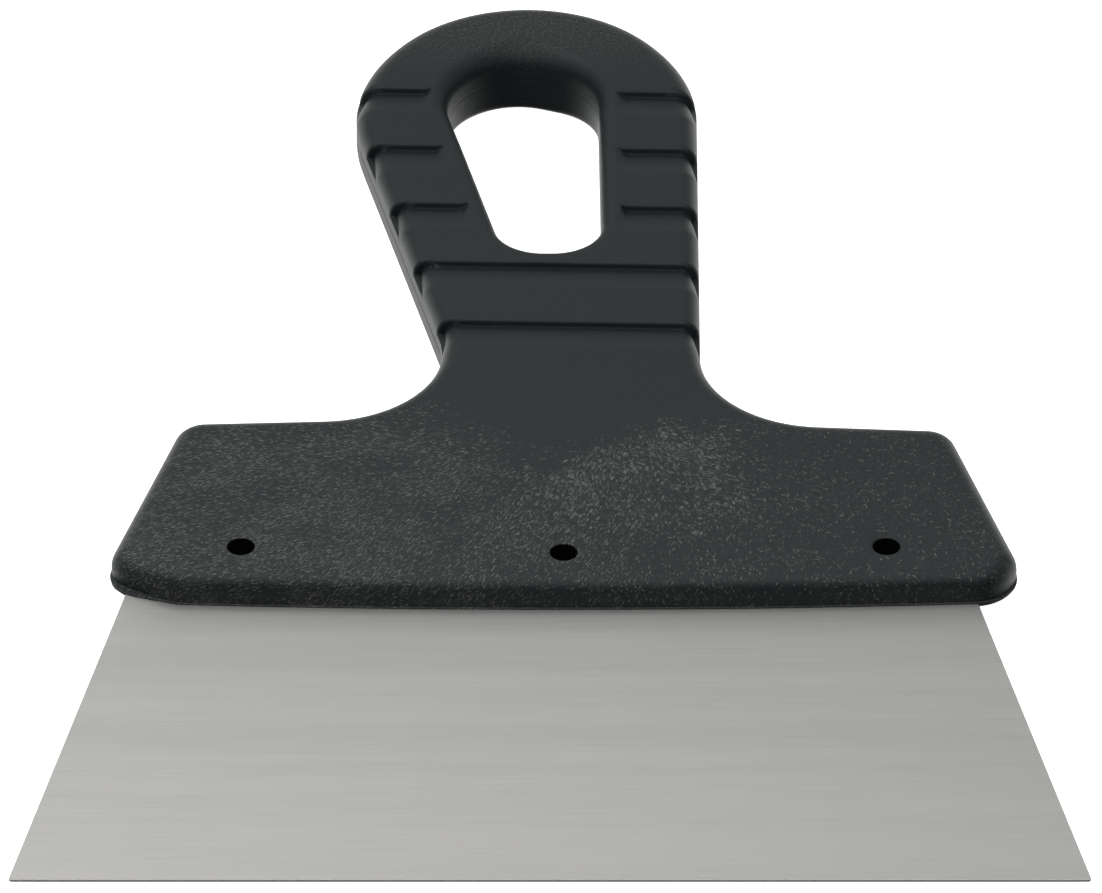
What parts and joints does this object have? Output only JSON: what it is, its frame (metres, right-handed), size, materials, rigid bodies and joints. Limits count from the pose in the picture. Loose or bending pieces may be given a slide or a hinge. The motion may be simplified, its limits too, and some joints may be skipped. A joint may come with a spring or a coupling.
{
  "type": "drywall taping knife",
  "caption": "Wide taping knife: flared stainless blade held in a moulded head, with a ribbed grip that ends in an open finger loop.",
  "frame": {"origin": "under the middle of the tool's bounding box, at the handle's back face", "axes": "+X across the blade, +Y from the working edge to the finger loop, +Z out of the handle's ribbed front face"},
  "size_m": [0.2, 0.273, 0.0132],
  "materials": {
    "blade_steel": "fine brushed grain along the working edge, satin",
    "handle_plastic": "near-black fibre-filled moulding, satin, with pale flow streaks"
  },
  "bodies": {
    "root": {"blade": "blade_steel", "handle_front_half": "handle_plastic", "handle_back_half": "handle_plastic"}
  },
  "joints": []
}
